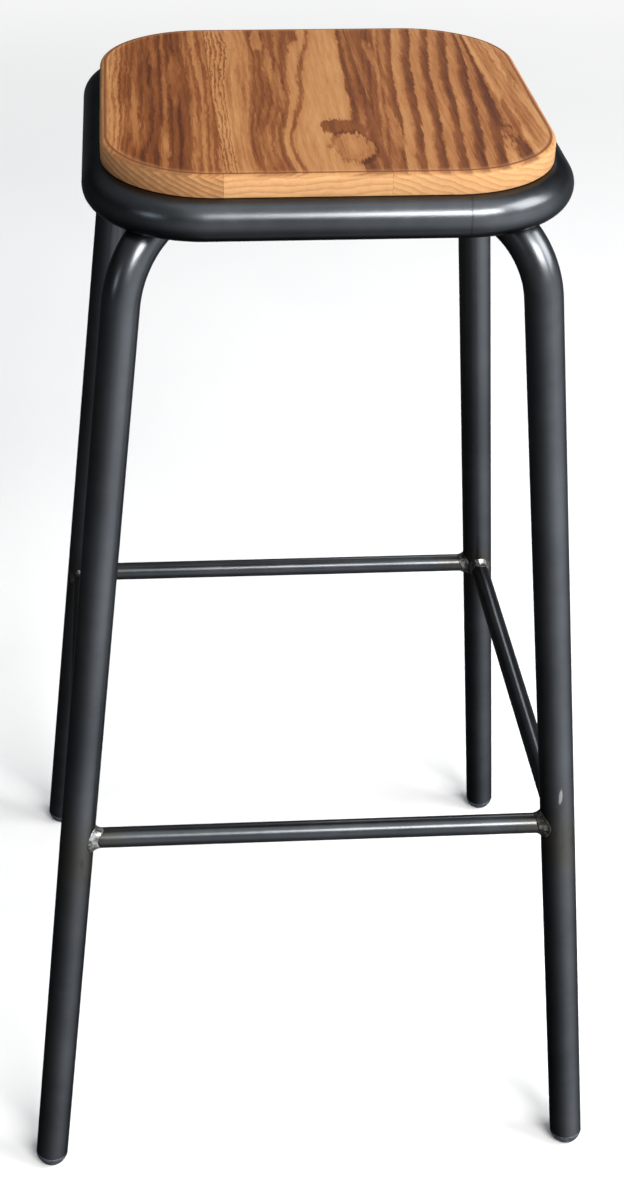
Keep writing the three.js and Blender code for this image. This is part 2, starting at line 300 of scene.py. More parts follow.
def capMaterial():
    look = capLook
    material, tree, shader = newMaterial("capPlastic")
    place = objectPlace(tree)
    height = addNode(tree, "ShaderNodeSeparateXYZ", {"Vector": place}).outputs["Z"]
    # lighter and bluish towards the bottom of the cap: partly dust from the floor, partly a painted highlight band
    # below the seam
    low = fadeOf(tree, height, 0.0, 0.007)
    scuff = bandOf(tree, noiseOf(tree, place, 320, 4, 0.7), 0.46, 0.66)
    dustAndSheen = product(tree, total(tree, product(tree, low, 0.7), 0.25), scuff)
    paint(tree, shader, {"Base Color": mixColour(tree, dustAndSheen, look["colour"], look["dustAndSheen"]),
                         "Roughness": total(tree, look["roughness"], product(tree, dustAndSheen, 0.4)),
                         "Normal": bumpOf(tree, noiseOf(tree, place, 1400, 2), 0.00005, 0.6)})
    return material


# zinc plate of the screws and washers

zincLook = {"clear": (0.60, 0.61, 0.60), "dull": (0.42, 0.41, 0.37), "roughness": 0.28}


def zincMaterial():
    look = zincLook
    material, tree, shader = newMaterial("zincPlate")
    place = objectPlace(tree)
    patch = noiseOf(tree, place, 380, 4, 0.65)
    colour = mixColour(tree, bandOf(tree, patch, 0.4, 0.65), look["clear"], look["dull"])
    paint(tree, shader, {"Base Color": colour, "Metallic": 1.0,
                         "Roughness": total(tree, look["roughness"], product(tree, patch, 0.2)),
                         "Normal": bumpOf(tree, noiseOf(tree, place, 2200, 2), 0.00003, 0.5)})
    return material


# oiled softwood: tone bands laid across each board, bent round its swells and carried down
# through its depth

seatLook = {
    "cornerRadius": 0.072,
    "topRound": 0.0036,
    "bottomRound": 0.0006,
    "strip": 0.0015,
    "cornerSteps": 32,
    "roundSteps": 7,
    "palette": [
        (0.00, (0.385, 0.194, 0.075)),
        (0.30, (0.300, 0.126, 0.043)),
        (0.60, (0.168, 0.053, 0.015)),
        (1.00, (0.066, 0.017, 0.005)),
    ],
    # paler tone for the sawn sides and the rounded top edge: partly paler wood, partly painted light
    "paleAndLitEdgeTone": (0.56, 0.325, 0.150),
    # dark tone of the arris line: partly stain, partly painted shade
    "arrisShadeAndStainTone": (0.125, 0.034, 0.011),
    "roughness": 0.42,
    "sheen": 0.08,
}

# how each noise is stretched in x, y and z, with its detail and roughness
grainNoise = {
    "slow": ((16, 4.5, 16), 2, 0.55),
    "medium": ((60, 15, 60), 3, 0.55),
    "jagged": ((330, 60, 330), 5, 0.72),
    "teeth": ((950, 85, 950), 3, 0.6),
    "patch": ((22, 9, 22), 3, 0.55),
    "streak": ((210, 9, 210), 4, 0.6),
    "fibre": ((1300, 42, 1300), 3, 0.6),
    "pore": ((2300, 120, 2300), 2, 0.55),
}

# all in mm: bands are (x, darkness 0 to 1), stripes are (from x, to x, pitch, shift, strength),
# swells are (x, y, width, length, push in x), flames are (x, y, width, length, darkness),
# slant is how far the grain moves in x for each mm down, at the board's left and right edges,
# and end is how the growth rings run on the sawn edge and how far its sides are made paler, partly paler wood and
# partly painted light
boardLooks = {
    "left": {
        "bands": [(-146, 0.30), (-133, 0.34), (-129, 0.62), (-118, 0.66), (-112, 0.84), (-104, 0.80),
                  (-101, 0.58), (-97, 0.86), (-88, 0.82), (-84, 0.50), (-76, 0.46), (-70, 0.58),
                  (-60, 0.3), (-40, 0.6), (-20, 0.3)],
        "stripes": [(-148, -126, 3.6, 0.0, 0.34), (-126, -84, 6.3, 0.4, 0.26), (-84, 20, 5.2, 0.0, 0.30)],
        "flames": [(-94, 32, 5, 62, 0.48), (-121, -50, 4, 60, 0.46), (-104, -95, 3.5, 44, 0.42),
                   (-108, 90, 3, 50, 0.52)],
        "swells": [(-120, -120, 16, 40, 7), (-84, 120, 12, 70, 6)],
        "drift": 0.015, "fan": 0.0, "slant": (1.0, 4.2), "wave": 9, "seed": 3.1,
        "end": {"across": 1.0, "down": -2.3, "pitch": 8.5, "wave": 12, "tone": 0.60, "paleAndLitSides": 0.10},
    },
    "middle": {
        "bands": [(-80, 0.42), (-60, 0.36), (-56, 0.22), (-50, 0.26), (-48, 0.45), (-45, 0.25),
                  (-42, 0.58), (-38, 0.68), (-24, 0.60), (-19, 0.66), (-17.5, 0.22), (-14, 0.20),
                  (-12.6, 0.62), (-11, 0.55), (-9.5, 0.20), (0, 0.13), (19, 0.16), (20.5, 0.80),
                  (23, 0.86), (25, 0.52), (27.5, 0.48), (29, 0.82), (33, 0.70), (38, 0.34),
                  (60, 0.28), (90, 0.36), (120, 0.30)],
        "stripes": [(-78, -59, 2.7, 0.2, 0.55), (-59, -43, 5.5, 0.1, 0.16), (-42, -19, 4.6, 0.3, 0.22),
                    (-9, 19, 7.0, 0.0, 0.08), (33, 120, 4.0, 0.0, 0.35)],
        "swells": [(-12, -100, 24, 62, 17), (2, 150, 20, 85, -17), (-50, 95, 12, 50, -5),
                   (-44, -90, 12, 60, 9)],
        "flames": [(-33, 116, 5, 30, 0.20), (-24, 10, 4, 50, 0.42), (-40, -105, 4, 50, 0.46),
                   (-29, 60, 3, 44, 0.34)],
        "drift": 0.0, "fan": 0.0, "slant": (4.5, 6.5), "wave": 8, "seed": 11.7,
        "end": {"across": 0.05, "down": 1.0, "pitch": 4.2, "wave": 7, "tone": 0.32, "paleAndLitSides": 0.42},
        "knot": {"x": 13, "y": -98, "width": 12.5, "length": 26,
                 "cowlX": 11, "cowlY": -64, "cowlWidth": 17, "cowlLength": 17},
    },
    "right": {
        "bands": [(0, 0.5), (30, 0.60), (35, 0.82), (39, 0.66), (42, 0.46), (45, 0.62), (49, 0.44),
                  (60, 0.50), (88, 0.55), (100, 0.62), (112, 0.66), (116, 0.60), (118, 0.08),
                  (121, 0.06), (123, 0.40), (132, 0.36), (134, 0.06), (137, 0.12), (139, 0.44),
                  (146, 0.34)],
        "stripes": [(30, 50, 4.3, 0.5, 0.18), (48, 116, 12.45, 0.62, 0.62), (116, 148, 3.4, 0.0, 0.16)],
        "swells": [(60, 60, 14, 60, 3)],
        "flames": [(43, -62, 4, 48, 0.30), (44, 84, 4, 36, 0.34), (121, -50, 3, 44, 0.62),
                   (134, 34, 2.5, 45, 0.46)],
        "drift": 0.095, "fan": 0.15, "slant": (-1.2, -1.2), "wave": 5, "seed": 23.4,
        "end": {"across": 0.35, "down": -0.9, "pitch": 3.6, "wave": 7, "tone": 0.28, "paleAndLitSides": 0.42},
    },
}


def gaussian(tree, x, y, centreX, centreY, width, length):
    gapX = calc(tree, "DIVIDE", calc(tree, "SUBTRACT", x, centreX), width)
    gapY = calc(tree, "DIVIDE", calc(tree, "SUBTRACT", y, centreY), length)
    square = total(tree, product(tree, gapX, gapX), product(tree, gapY, gapY))
    return square, calc(tree, "EXPONENT", product(tree, square, -1.0))


def greyStops(pairs):
    low, high = pairs[0][0], pairs[-1][0]
    return [((place - low) / (high - low), (tone, tone, tone)) for place, tone in pairs]


def swings(tree, grain, **sizes):
    return [swing(tree, grain[name], size) for name, size in sizes.items()]


def knotTone(tree, x, y, grain, knot, tone):
    bentX = total(tree, x, *swings(tree, grain, medium=18, jagged=18))
    bentY = total(tree, y, *swings(tree, grain, slow=12, medium=16, jagged=34, teeth=14))
    cowl = gaussian(tree, bentX, bentY, knot["cowlX"], knot["cowlY"], knot["cowlWidth"], knot["cowlLength"])[0]
    heart = gaussian(tree, bentX, bentY, knot["x"], knot["y"], knot["width"], knot["length"])[0]
    heartLine = product(tree, bandOf(tree, heart, 0.72, 0.95), fadeOf(tree, heart, 1.05, 1.5))
    cowlTone = total(tree, 0.52, product(tree, grain["medium"], 0.34))
    heartTone = total(tree, 0.32, product(tree, calc(tree, "FRACT", product(tree, heart, 2.1)), 0.10))
    tone = mixTone(tree, fadeOf(tree, cowl, 0.72, 0.92), tone, cowlTone)
    tone = mixTone(tree, fadeOf(tree, heart, 0.80, 1.0), tone, heartTone)
    return total(tree, tone, product(tree, heartLine, 0.30))


# distance in from the seat's outline, in mm
def outlineDistance(tree, x, y):
    inset = (seatHalf - seatLook["cornerRadius"]) * 1000
    overX = calc(tree, "SUBTRACT", calc(tree, "ABSOLUTE", x), inset)
    overY = calc(tree, "SUBTRACT", calc(tree, "ABSOLUTE", y), inset)
    outX = calc(tree, "MAXIMUM", overX, 0.0)
    outY = calc(tree, "MAXIMUM", overY, 0.0)
    outLength = calc(tree, "SQRT", total(tree, product(tree, outX, outX), product(tree, outY, outY)))
    within = calc(tree, "MINIMUM", calc(tree, "MAXIMUM", overX, overY), 0.0)
    return calc(tree, "SUBTRACT", seatLook["cornerRadius"] * 1000, total(tree, outLength, within))


def woodMaterial(name, look):
    material, tree, shader = newMaterial(name)
    place = objectPlace(tree)
    inMm = vectorCalc(tree, "MULTIPLY", place, (1000, 1000, 1000))
    x, y, z = addNode(tree, "ShaderNodeSeparateXYZ", {"Vector": inMm}).outputs
    seed = (look["seed"], look["seed"] * 0.7, 0)
    grain = {key: noiseOf(tree, stretched(tree, place, scale, seed), 1, detail, rough)
             for key, (scale, detail, rough) in grainNoise.items()}
    depth = calc(tree, "SUBTRACT", seatTop * 1000, z)
    first, last = look["bands"][0][0], look["bands"][-1][0]

    # how far across the board's bands a point lies
    lean = calc(tree, "SUBTRACT", look["drift"], product(tree, bandOf(tree, x, 106, 122), look["fan"]))
    leftSlant, rightSlant = look["slant"]
    slant = addNode(tree, "ShaderNodeMapRange", {"Value": x, "From Min": first, "From Max": last,
                                                 "To Min": leftSlant, "To Max": rightSlant}).outputs[0]
    wave = look["wave"]
    across = total(tree, x, *swings(tree, grain, slow=wave, medium=wave * 0.55, jagged=6.5, teeth=2.4))
    across = calc(tree, "SUBTRACT", across, product(tree, lean, y))
    across = total(tree, across, product(tree, depth, slant))
    for swellX, swellY, width, length, push in look["swells"]:
        bulge = gaussian(tree, x, y, swellX, swellY, width, length)[1]
        across = total(tree, across, product(tree, bulge, push))

    spread = addNode(tree, "ShaderNodeMapRange", {"Value": across, "From Min": first, "From Max": last}).outputs[0]
    tone = rampOf(tree, spread, greyStops(look["bands"]))
    stripeStops = greyStops([(0, 0.1), (0.38, 0.16), (0.62, 0.80), (0.88, 1.0), (1.0, 0.1)])
    for start, stop, pitch, shift, strength in look["stripes"]:
        turns = total(tree, calc(tree, "DIVIDE", across, pitch), shift, swing(tree, grain["patch"], 0.55))
        stripe = rampOf(tree, calc(tree, "FRACT", turns), stripeStops)
        zone = product(tree, bandOf(tree, across, start - 1.5, start + 1.5),
                       fadeOf(tree, across, stop - 1.5, stop + 1.5))
        tone = total(tree, tone, product(tree, calc(tree, "SUBTRACT", stripe, 0.5), strength, zone))

    ragX = total(tree, x, *swings(tree, grain, medium=10, jagged=9, teeth=4))
    ragY = total(tree, y, *swings(tree, grain, jagged=26, teeth=14))
    for flameX, flameY, width, length, flameTone in look["flames"]:
        flame = gaussian(tree, ragX, ragY, flameX, flameY, width, length)[0]
        tone = mixTone(tree, product(tree, fadeOf(tree, flame, 0.45, 1.0), 0.75), tone, flameTone)
    if "knot" in look:
        tone = knotTone(tree, x, y, grain, look["knot"], tone)

    # growth rings as the sawn ends show them
    sawn = look["end"]
    facing = addNode(tree, "ShaderNodeNewGeometry").outputs["Normal"]
    facingUp = addNode(tree, "ShaderNodeSeparateXYZ", {"Vector": facing}).outputs["Z"]
    flank = fadeOf(tree, calc(tree, "ABSOLUTE", facingUp), 0.25, 0.85)
    ringPlace = total(tree, product(tree, x, sawn["across"]), product(tree, depth, sawn["down"]),
                      *swings(tree, grain, slow=sawn["wave"], medium=sawn["wave"] * 0.7, teeth=1.1))
    endRing = calc(tree, "FRACT", calc(tree, "DIVIDE", ringPlace, sawn["pitch"]))
    endLine = product(tree, calc(tree, "SUBTRACT", calc(tree, "POWER", endRing, 2.2), 0.31), 0.85)
    tone = mixTone(tree, product(tree, flank, 0.85), tone, sawn["tone"])

    # fibres, streaks where the oil soaked in, and open pores
    pore = bandOf(tree, grain["pore"], 0.62, 0.74)
    tone = total(tree, tone, *swings(tree, grain, streak=0.80, patch=0.26, fibre=0.42),
                 product(tree, pore, 0.16), product(tree, endLine, flank))
    colour = rampOf(tree, tone, seatLook["palette"])

    # the sawn sides and the rounded top edge made paler, partly paler wood and partly painted light where the
    # front lamps fall on them, and the dark line of the arris, partly stain and partly painted shade
    fromEdge = total(tree, outlineDistance(tree, x, y), swing(tree, grain["medium"], 1.2))
    # sawn sides made paler: partly paler wood, partly painted light from the front lamps
    colour = mixColour(tree, product(tree, flank, sawn["paleAndLitSides"]), colour, seatLook["paleAndLitEdgeTone"])
    # painted highlight: the top made paler within 9 mm of the outline, where the rounded edge catches the light
    litRoundover = fadeOf(tree, fromEdge, 3.5, 9.0)
    colour = mixColour(tree, product(tree, litRoundover, 0.22), colour, seatLook["paleAndLitEdgeTone"])
    # dark line along the arris: partly stain gathered there, partly painted shade where the rounding turns away
    # from the light
    arris = product(tree, bandOf(tree, fromEdge, 2.3, 3.2), fadeOf(tree, fromEdge, 3.9, 5.4))
    colour = mixColour(tree, product(tree, arris, 0.85), colour, seatLook["arrisShadeAndStainTone"])

    relief = calc(tree, "SUBTRACT", product(tree, grain["fibre"], 0.6), product(tree, pore, 0.9))
    relief = total(tree, relief, product(tree, tone, 0.4))
    paint(tree, shader, {"Base Color": colour, "Normal": bumpOf(tree, relief, 0.00016, 0.6),
                         "Roughness": total(tree, seatLook["roughness"], product(tree, grain["fibre"], 0.18)),
                         "Specular IOR Level": seatLook["sheen"]})
    return material


materials = {
    "steel": steelMaterial(),
    "weld": weldMaterial(),
    "cap": capMaterial(),
    "zinc": zincMaterial(),
}
for boardName, boardLook in boardLooks.items():
    materials[boardName] = woodMaterial(f"wood_{boardName}", boardLook)
print("materials made:", len(materials))


# Geometry Nodes: a tube along a path, and a rippled bead along a path
def newTree(name, sizes):
    tree = bpy.data.node_groups.new(name, "GeometryNodeTree")
    tree.interface.new_socket("Geometry", in_out="INPUT", socket_type="NodeSocketGeometry")
    tree.interface.new_socket("Geometry", in_out="OUTPUT", socket_type="NodeSocketGeometry")
    for label, kind in sizes:
        tree.interface.new_socket(label, in_out="INPUT", socket_type=kind)
    return tree, addNode(tree, "NodeGroupInput").outputs, addNode(tree, "NodeGroupOutput")


def storeOn(tree, geometry, name, value, kind):
    made = addNode(tree, "GeometryNodeStoreNamedAttribute", data_type=kind, domain="POINT")
    for key, item in (("Geometry", geometry), ("Name", name), ("Value", value)):
        feed(tree, made.inputs[key], item)
    return made.outputs["Geometry"]


def readBack(tree, name, kind):
    return addNode(tree, "GeometryNodeInputNamedAttribute", {"Name": name}, data_type=kind).outputs["Attribute"]


def finishTree(tree, geometry, material, groupOut):
    smooth = addNode(tree, "GeometryNodeSetShadeSmooth", {"Geometry": geometry})
    real = addNode(tree, "GeometryNodeRealizeInstances", {"Geometry": smooth.outputs[0]})
    painted = addNode(tree, "GeometryNodeSetMaterial", {"Geometry": real.outputs[0], "Material": material})
    tree.links.new(painted.outputs[0], groupOut.inputs["Geometry"])


# "skin" holds the place round the tube's section in x and y, and the length along it in z
def tubeTree():
    tree, given, groupOut = newTree("tubeAlongPath", [
        ("Tube radius", "NodeSocketFloat"),
        ("Sides", "NodeSocketInt"),
        ("Finish", "NodeSocketMaterial"),
    ])
    path = addNode(tree, "GeometryNodeMeshToCurve", {"Mesh": given["Geometry"]}).outputs[0]
    length = addNode(tree, "GeometryNodeSplineParameter").outputs["Length"]
    path = storeOn(tree, path, "along", length, "FLOAT")
    section = addNode(tree, "GeometryNodeCurvePrimitiveCircle",
                      {"Resolution": given["Sides"], "Radius": given["Tube radius"]}).outputs["Curve"]
    roundPlace = addNode(tree, "GeometryNodeInputPosition").outputs[0]
    section = storeOn(tree, section, "round", roundPlace, "FLOAT_VECTOR")
    tube = addNode(tree, "GeometryNodeCurveToMesh",
                   {"Curve": path, "Profile Curve": section, "Fill Caps": True}).outputs[0]
    around = readBack(tree, "round", "FLOAT_VECTOR")
    along = readBack(tree, "along", "FLOAT")
    parts = addNode(tree, "ShaderNodeSeparateXYZ", {"Vector": around}).outputs
    skin = addNode(tree, "ShaderNodeCombineXYZ", {"X": parts["X"], "Y": parts["Y"], "Z": along}).outputs[0]
    tube = storeOn(tree, tube, "skin", skin, "FLOAT_VECTOR")
    finishTree(tree, tube, given["Finish"], groupOut)
    return tree


def beadTree():
    tree, given, groupOut = newTree("rippledBead", [
        ("Bead radius", "NodeSocketFloat"),
        ("Ripple spacing", "NodeSocketFloat"),
        ("Ripple depth", "NodeSocketFloat"),
        ("Seed", "NodeSocketFloat"),
        ("Finish", "NodeSocketMaterial"),
    ])
    path = addNode(tree, "GeometryNodeMeshToCurve", {"Mesh": given["Geometry"]}).outputs[0]
    fine = addNode(tree, "GeometryNodeResampleCurve", {"Curve": path})
    feed(tree, fine.inputs["Count"], 160)
    length = addNode(tree, "GeometryNodeSplineParameter").outputs["Length"]
    turn = product(tree, calc(tree, "DIVIDE", length, given["Ripple spacing"]), 2 * math.pi)
    ripple = product(tree, calc(tree, "SINE", turn), given["Ripple depth"])
    wobble = addNode(tree, "ShaderNodeTexNoise", {"Scale": 160.0, "W": given["Seed"]}, noise_dimensions="4D")
    swell = total(tree, 0.75, ripple, product(tree, wobble.outputs["Fac"], 0.5))
    section = addNode(tree, "GeometryNodeCurvePrimitiveCircle", {"Resolution": 14, "Radius": given["Bead radius"]})
    sized = addNode(tree, "GeometryNodeSetCurveRadius", {"Curve": fine.outputs[0], "Radius": swell})
    bead = addNode(tree, "GeometryNodeCurveToMesh",
                   {"Curve": sized.outputs[0], "Profile Curve": section.outputs["Curve"]})
    if "Scale" in bead.inputs:
        feed(tree, bead.inputs["Scale"], swell)
    finishTree(tree, bead.outputs[0], given["Finish"], groupOut)
    return tree


tubeNodes = tubeTree()
beadNodes = beadTree()


def grow(name, points, closed, tree, values):
    count = len(points)
    edges = [(i, (i + 1) % count) for i in range(count if closed else count - 1)]
    mesh = bpy.data.meshes.new(name)
    mesh.from_pydata([tuple(p) for p in points], edges, [])
    source = bpy.data.objects.new(name + "_path", mesh)
    bpy.context.scene.collection.objects.link(source)
    maker = source.modifiers.new("grow", "NODES")
    maker.node_group = tree
    sockets = {item.name: item.identifier for item in tree.interface.items_tree if item.in_out == "INPUT"}
    for label, value in values.items():
        maker[sockets[label]] = value
    bpy.context.view_layer.update()
    grown = bpy.data.meshes.new_from_object(source.evaluated_get(bpy.context.evaluated_depsgraph_get()))
    grown.name = name
    bpy.data.objects.remove(source)
    return addPiece(name, grown)


def addPiece(name, mesh):
    piece = bpy.data.objects.new(name, mesh)
    bpy.context.scene.collection.objects.link(piece)
    return piece


def settle(piece, slotName, *nodes):
    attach(piece, "root")
    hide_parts(*nodes)


def meshOf(name, points, faces, material, smooth=True):
    mesh = bpy.data.meshes.new(name)
    mesh.from_pydata([tuple(p) for p in points], [], faces)
    mesh.materials.append(material)
    mesh.polygons.foreach_set("use_smooth", [smooth] * len(mesh.polygons))
    tidy = bmesh.new()
    tidy.from_mesh(mesh)
    bmesh.ops.recalc_face_normals(tidy, faces=tidy.faces)
    tidy.to_mesh(mesh)
    tidy.free()
    return mesh


# seat ring
ringLook = {"cornerRadius": 0.063, "cornerSteps": 28, "sides": 48}


def ringPoints():
    inset = ringHalf - ringLook["cornerRadius"]
    points = []
    for corner, (x, y) in enumerate(((1, 1), (-1, 1), (-1, -1), (1, -1))):
        for step in range(ringLook["cornerSteps"] + 1):
            turn = math.radians(90 * corner + 90 * step / ringLook["cornerSteps"])
            spoke = Vector((math.cos(turn), math.sin(turn), 0)) * ringLook["cornerRadius"]
            points.append(Vector((x * inset, y * inset, ringHeight)) + spoke)
    return points


ring = grow("ringTube", ringPoints(), True, tubeNodes,
            {"Tube radius": ringTube, "Sides": ringLook["sides"], "Finish": materials["steel"]})
settle(ring, "frame_steel", "seat_ring")
print("ring made")

# legs
legLook = {"radius": 0.0125, "bendRadius": 0.0575, "bendSteps": 30, "sides": 44, "footGap": 0.0105}
levelHeight = legHigh.z - legLook["radius"]
bendStartHeight = levelHeight - legLook["bendRadius"] * (1 - math.sin(legLean))


def legParts(turnDegrees):
    turn = math.radians(turnDegrees)
    out = Vector((math.cos(turn), math.sin(turn), 0))
    along = upward * math.cos(legLean) - out * math.sin(legLean)
    inward = -out * math.cos(legLean) - upward * math.sin(legLean)
    foot = out * footHalf * math.sqrt(2)
    bendStart = foot + along * (bendStartHeight / math.cos(legLean))
    return foot, along, inward, bendStart


def legBendPoint(parts, angle):
    along, inward, bendStart = parts[1:]
    radius = legLook["bendRadius"]
    return bendStart + along * radius * math.sin(angle) + inward * radius * (1 - math.cos(angle))


def legPoints(turnDegrees, stopShort):
    parts = legParts(turnDegrees)
    foot, along, _, bendStart = parts
    points = [foot + along * legLook["footGap"], foot + along * 0.2, bendStart - along * 0.02]
    for step in range(legLook["bendSteps"] + 1):
        points.append(legBendPoint(parts, (math.pi / 2 - legLean) * step / legLook["bendSteps"]))
    points.append(Vector((foot.x, foot.y, 0)).normalized() * stopShort + upward * levelHeight)
    return points


for cornerName, cornerTurn in cornerTurns.items():
    through = cornerName in ("front_left", "back_right")
    leg = grow("legTube_" + cornerName, legPoints(cornerTurn, 0.0002 if through else 0.006), False, tubeNodes,
               {"Tube radius": legLook["radius"], "Sides": legLook["sides"], "Finish": materials["steel"]})
    settle(leg, "frame_steel", "leg_" + cornerName)
print("legs made")

# footrest bars
barLook = {"sides": 36}
for sideName, sideTurn in sideTurns.items():
    spin = Matrix.Rotation(math.radians(sideTurn), 4, "Z")
    ends = [spin @ Vector((x, -barHalf, barHeight)) for x in (-barHalf, 0, barHalf)]
    bar = grow("footrestTube_" + sideName, ends, False, tubeNodes,
               {"Tube radius": barTube, "Sides": barLook["sides"], "Finish": materials["steel"]})
    settle(bar, "frame_steel", "footrest_bar_" + sideName)
print("footrest bars made")

# weld fillets between the bars and the legs
filletLook = {"onLeg": 0.0038, "onBar": 0.0054, "hollow": 0.20, "ripple": 0.00013, "ripples": 17,
              "sunk": 0.0008, "turns": 96, "across": 9, "firstSeed": 41}


def filletMesh(name, centre, barAxis, legAxis, seed):
    look = filletLook
    first = (legAxis - barAxis * legAxis.dot(barAxis)).normalized()
    second = barAxis.cross(first)
    chance = np.random.default_rng(seed)
    phases = chance.uniform(0, 2 * math.pi, 6)
    points = []
    for turn in range(look["turns"]):
        angle = 2 * math.pi * turn / look["turns"]
        spoke = first * math.cos(angle) + second * math.sin(angle)
        offset = spoke * barTube
        flatOffset = offset - legAxis * offset.dot(legAxis)
        flatBar = barAxis - legAxis * barAxis.dot(legAxis)
        a, b = flatBar.dot(flatBar), 2 * flatOffset.dot(flatBar)
        c = flatOffset.dot(flatOffset) - legLook["radius"] ** 2
        reach = (-b + math.sqrt(b * b - 4 * a * c)) / (2 * a)
        corner = centre + offset + barAxis * reach
        legNormal = (flatOffset + flatBar * reach).normalized()
        creep = (spoke - legNormal * spoke.dot(legNormal)).normalized()
        uneven = 1 + 0.10 * math.sin(2 * angle + phases[0]) + 0.07 * math.sin(5 * angle + phases[1])
        onLeg = corner + creep * look["onLeg"] * uneven
        fromAxis = onLeg - centre
        fromAxis -= legAxis * fromAxis.dot(legAxis)
        onLeg += fromAxis.normalized() * (legLook["radius"] - fromAxis.length)
        onBar = corner + barAxis * look["onBar"] * (1 + 0.12 * math.sin(3 * angle + phases[2]))
        outward = (spoke + legNormal).normalized()
        pull = corner + (onLeg + onBar - 2 * corner) * look["hollow"]
        for step in range(look["across"]):
            t = step / (look["across"] - 1)
            spot = onBar * (1 - t) ** 2 + pull * 2 * t * (1 - t) + onLeg * t * t
            wave = math.sin(look["ripples"] * angle + 1.6 * math.sin(math.pi * t) + phases[3])
            wave += 0.5 * math.sin(3.3 * look["ripples"] * angle / 2 + phases[4])
            points.append(spot + outward * look["ripple"] * wave * 4 * t * (1 - t))
        points.append(onLeg - fromAxis.normalized() * look["sunk"])
        points.append(corner - outward * 2 * look["sunk"])
        points.append(onBar - spoke * look["sunk"])
    row = look["across"] + 3
    faces = []
    for turn in range(look["turns"]):
        nextTurn = (turn + 1) % look["turns"]
        for step in range(row):
            nextStep = (step + 1) % row
            faces.append((turn * row + step, turn * row + nextStep,
                          nextTurn * row + nextStep, nextTurn * row + step))
    return meshOf(name, points, faces, materials["weld"])


weldSeed = filletLook["firstSeed"]
for sideName, sideTurn in sideTurns.items():
    spin = Matrix.Rotation(math.radians(sideTurn), 4, "Z")
    for endName, direction in zip(sideEnds[sideName], (-1, 1)):
        centre = spin @ Vector((direction * barHalf, -barHalf, barHeight))
        barAxis = spin.to_3x3() @ Vector((-direction, 0, 0))
        legAxis = Vector((-centre.x, -centre.y, 0)).normalized() * math.sin(legLean) + upward * math.cos(legLean)
        filletName = f"fillet_{sideName}_{endName}"
        bead = addPiece(filletName, filletMesh(filletName, centre, barAxis, legAxis, weldSeed))
        settle(bead, "weld_steel", f"footrest_weld_{sideName}_{endName}_end")
        weldSeed += 1
print("footrest welds made")

# beads where the legs pass under the ring, and where they meet in the middle
beadLook = {"radius": 0.0021, "spacing": 0.0026, "depth": 0.10, "steps": 72}


def ringDistance(point):
    inset = ringHalf - ringLook["cornerRadius"]
    dx, dy = max(abs(point.x) - inset, 0), max(abs(point.y) - inset, 0)
    inside = min(max(abs(point.x) - inset, abs(point.y) - inset), 0)
    flat = math.hypot(dx, dy) + inside - ringLook["cornerRadius"]
    return math.hypot(flat, point.z - ringHeight) - ringTube


def legSkinPoint(parts, angle, turn):
    along, inward = parts[1:3]
    tangent = along * math.cos(angle) + inward * math.sin(angle)
    outer = along * math.sin(angle) - inward * math.cos(angle)
    sideways = tangent.cross(outer)
    return legBendPoint(parts, angle) + (outer * math.cos(turn) + sideways * math.sin(turn)) * legLook["radius"]


# the closed line on the leg's bend where its skin meets the ring's skin
def contactLine(parts):
    trial = [(ringDistance(legSkinPoint(parts, math.radians(a), 0)), a) for a in range(5, 80)]
    deepest = math.radians(min(trial)[1])
    points = []
    for step in range(beadLook["steps"]):
        heading = 2 * math.pi * step / beadLook["steps"]
        near, far = 0.0, 0.05
        for _ in range(30):
            middle = (near + far) / 2
            spot = legSkinPoint(parts, deepest + middle * math.cos(heading) / legLook["bendRadius"],
                                middle * math.sin(heading) / legLook["radius"])
            near, far = (middle, far) if ringDistance(spot) < 0 else (near, middle)
        points.append(spot)
    return points


for number, (cornerName, cornerTurn) in enumerate(cornerTurns.items()):
    bead = grow("leg_bead_" + cornerName, contactLine(legParts(cornerTurn)), True, beadNodes,
                {"Bead radius": beadLook["radius"], "Ripple spacing": beadLook["spacing"],
                 "Ripple depth": beadLook["depth"], "Seed": 5.0 + number, "Finish": materials["weld"]})
    settle(bead, "weld_steel", "leg_weld_" + cornerName)


# two equal tubes crossing square meet on two flat ovals
def crossLines():
    lines = []
    for tilt in (-1, 1):
        line = []
        for step in range(96):
            angle = 2 * math.pi * step / 96
            flat = legLook["radius"] * math.cos(angle)
            line.append(Vector((flat * tilt, flat, levelHeight + legLook["radius"] * math.sin(angle))))
        lines.append(line)
    return lines


spinCross = Matrix.Rotation(math.radians(45), 4, "Z")
for number, line in enumerate(crossLines()):
    bead = grow(f"cross_bead_{number}", [spinCross @ p for p in line], True, beadNodes,
                {"Bead radius": beadLook["radius"] * 1.1, "Ripple spacing": beadLook["spacing"],
                 "Ripple depth": beadLook["depth"], "Seed": 20.0 + number, "Finish": materials["weld"]})
    settle(bead, "weld_steel", "leg_cross_weld")
print("leg welds made")


# seat boards
def outlineAt(offset):
    radius = seatLook["cornerRadius"] - offset
    inset = seatHalf - seatLook["cornerRadius"]
    steps = seatLook["cornerSteps"]
    points = []
    for corner, (x, y) in enumerate(((1, 1), (-1, 1), (-1, -1), (1, -1))):
        for step in range(steps + 1):
            turn = math.radians(90 * corner + 90 * step / steps)
            points.append((x * inset + radius * math.cos(turn), y * inset + radius * math.sin(turn)))
    return points


